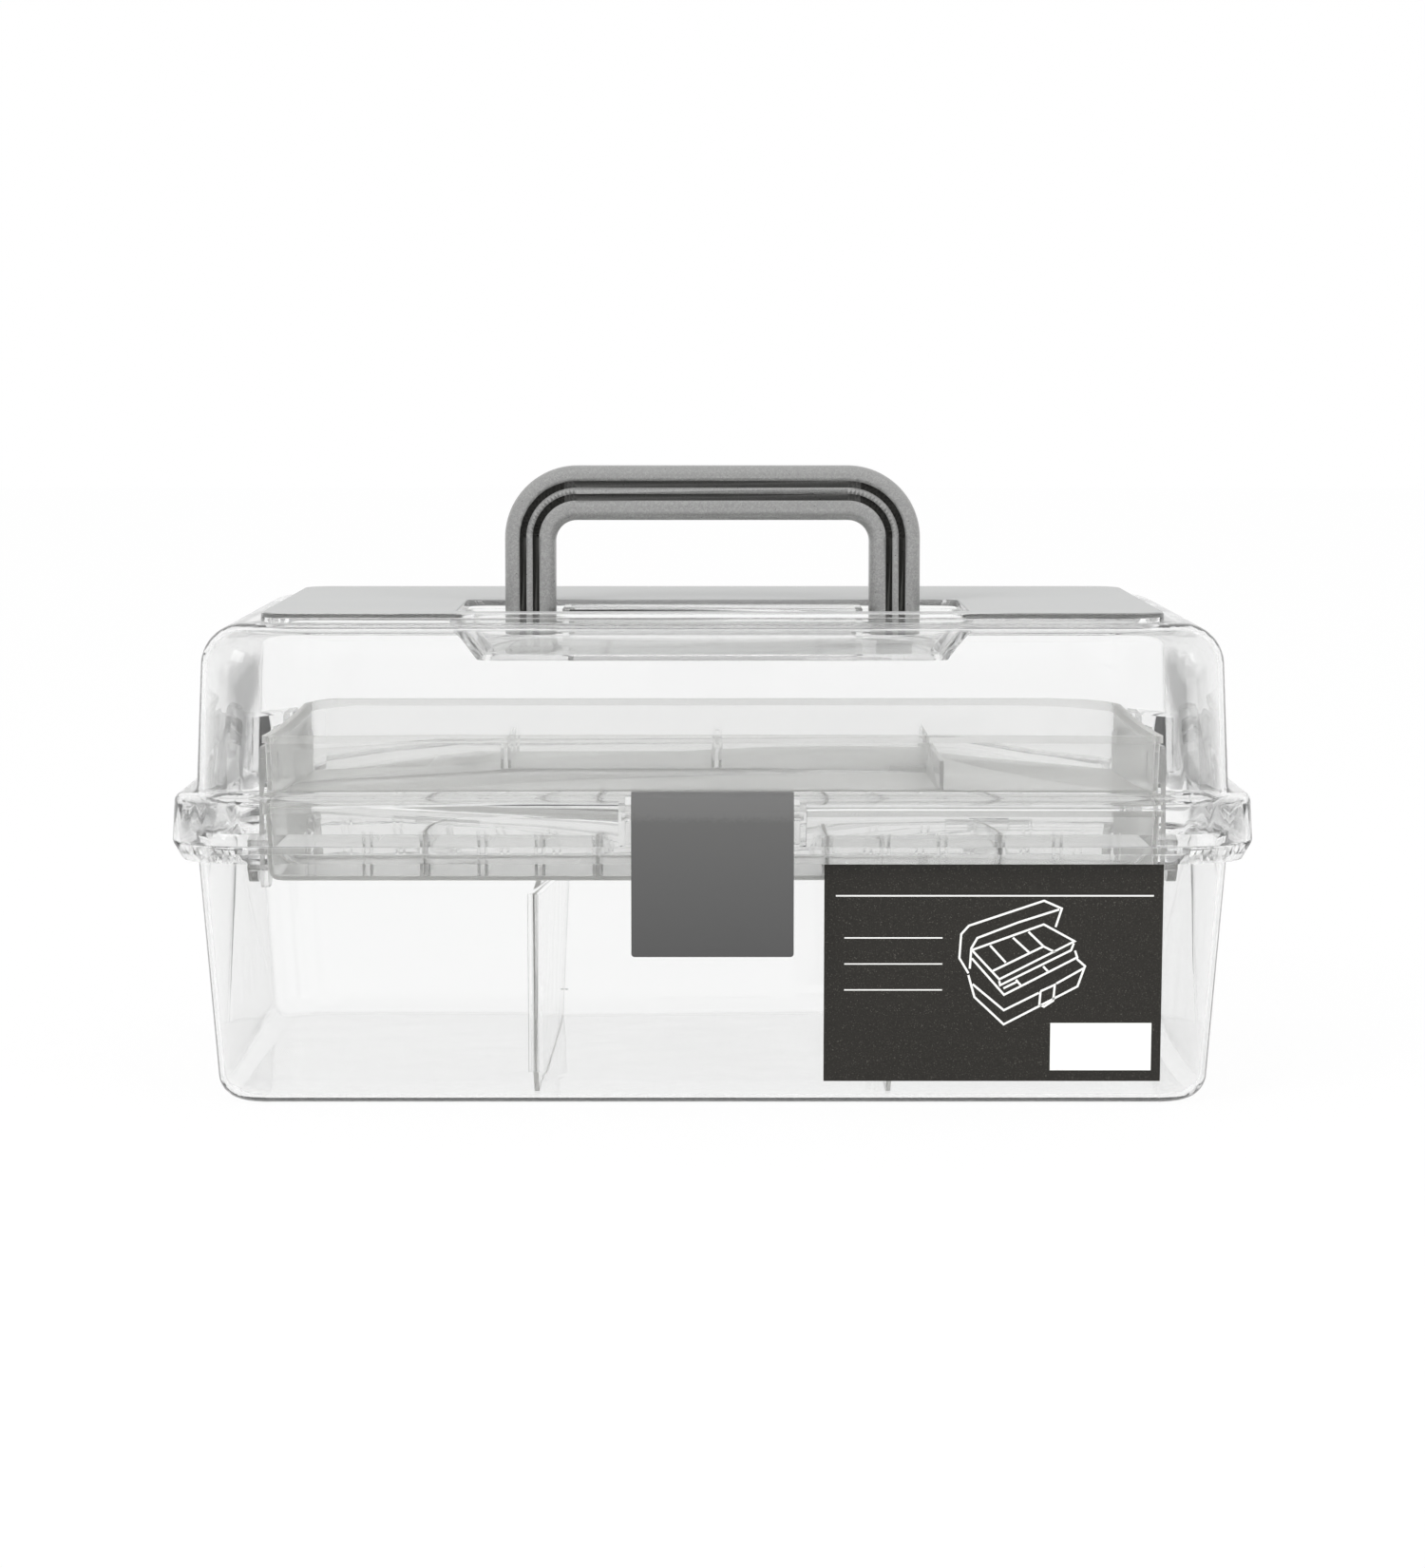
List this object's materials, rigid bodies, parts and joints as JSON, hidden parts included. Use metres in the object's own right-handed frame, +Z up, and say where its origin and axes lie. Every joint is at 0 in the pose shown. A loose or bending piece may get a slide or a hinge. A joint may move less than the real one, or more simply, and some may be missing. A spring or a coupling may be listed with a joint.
{
  "type": "art supply carry box",
  "caption": "Clear hinged carry box with a fold-down handle, a front latch and two divided trays that rise and swing back on arms as the lid opens.",
  "frame": {"origin": "middle of the flat underside that the box stands on", "axes": "+X along the box's length to the right, +Y to the hinged back, +Z up"},
  "size_m": [0.33, 0.2125, 0.1933],
  "materials": {
    "clear_shell": "clear glossy moulded plastic with a faint haze",
    "milky_tray": "milky translucent moulded plastic",
    "milky_divider": "thin milky translucent plastic sheet",
    "milky_link": "milky translucent moulded plastic",
    "pin_plastic": "plain moulded plastic",
    "handle_grey": "silver grey satin plastic with fine flake",
    "latch_grey": "smooth mid grey satin plastic",
    "label_film": "dark printed film label"
  },
  "bodies": {
    "base": {"base_bin": "clear_shell", "bin_divider_left": "milky_divider", "bin_divider_right": "milky_divider", "front_label": "label_film", "hinge_pin_left": "pin_plastic", "hinge_pin_right": "pin_plastic", "front_arm_pins": "pin_plastic"},
    "lid": {"lid": "clear_shell", "lid_arm_left": "milky_link", "lid_arm_right": "milky_link", "lid_arm_rivets": "pin_plastic"},
    "front_arms": {"front_arm_left": "milky_link", "front_arm_right": "milky_link"},
    "lower_tray": {"lower_tray": "milky_tray", "lower_tray_pins": "pin_plastic", "lower_divider_1": "milky_divider", "lower_divider_2": "milky_divider", "lower_divider_3": "milky_divider", "lower_divider_4": "milky_divider"},
    "upper_tray": {"upper_tray": "milky_tray", "upper_divider_1": "milky_divider", "upper_divider_2": "milky_divider", "upper_tray_bracket_left": "milky_link", "upper_tray_bracket_right": "milky_link", "upper_tray_pins": "pin_plastic"},
    "latch": {"latch": "latch_grey"},
    "handle": {"handle": "handle_grey"}
  },
  "joints": [
    {"name": "lid_hinge", "type": "hinge", "parent": "base", "child": "lid", "pos_m": [0, 0.1043, 0.0813], "axis": [-1, 0, 0], "range_deg": [0, 95]},
    {"name": "front_arm_swing", "type": "hinge", "parent": "base", "child": "front_arms", "pos_m": [0, -0.005, 0.0774], "axis": [-1, 0, 0], "range_deg": [0, 95]},
    {"name": "lower_tray_swing", "type": "hinge", "parent": "lid", "child": "lower_tray", "pos_m": [0, 0.08263, 0.07748], "axis": [1, 0, 0], "range_deg": [0, 95]},
    {"name": "upper_tray_swing", "type": "hinge", "parent": "lid", "child": "upper_tray", "pos_m": [0, 0.06097, 0.07366], "axis": [1, 0, 0], "range_deg": [0, 95]},
    {"name": "handle_fold", "type": "hinge", "parent": "lid", "child": "handle", "pos_m": [0, -0.014, 0.1433], "axis": [1, 0, 0], "range_deg": [0, 90]},
    {"name": "latch_swing", "type": "hinge", "parent": "lid", "child": "latch", "pos_m": [0, -0.0998, 0.0913], "axis": [-1, 0, 0], "range_deg": [0, 105]}
  ],
  "couplings": [
    {"joint": "front_arm_swing", "follows": "lid_hinge", "ratio": 1},
    {"joint": "lower_tray_swing", "follows": "lid_hinge", "ratio": 1},
    {"joint": "upper_tray_swing", "follows": "lid_hinge", "ratio": 1}
  ]
}
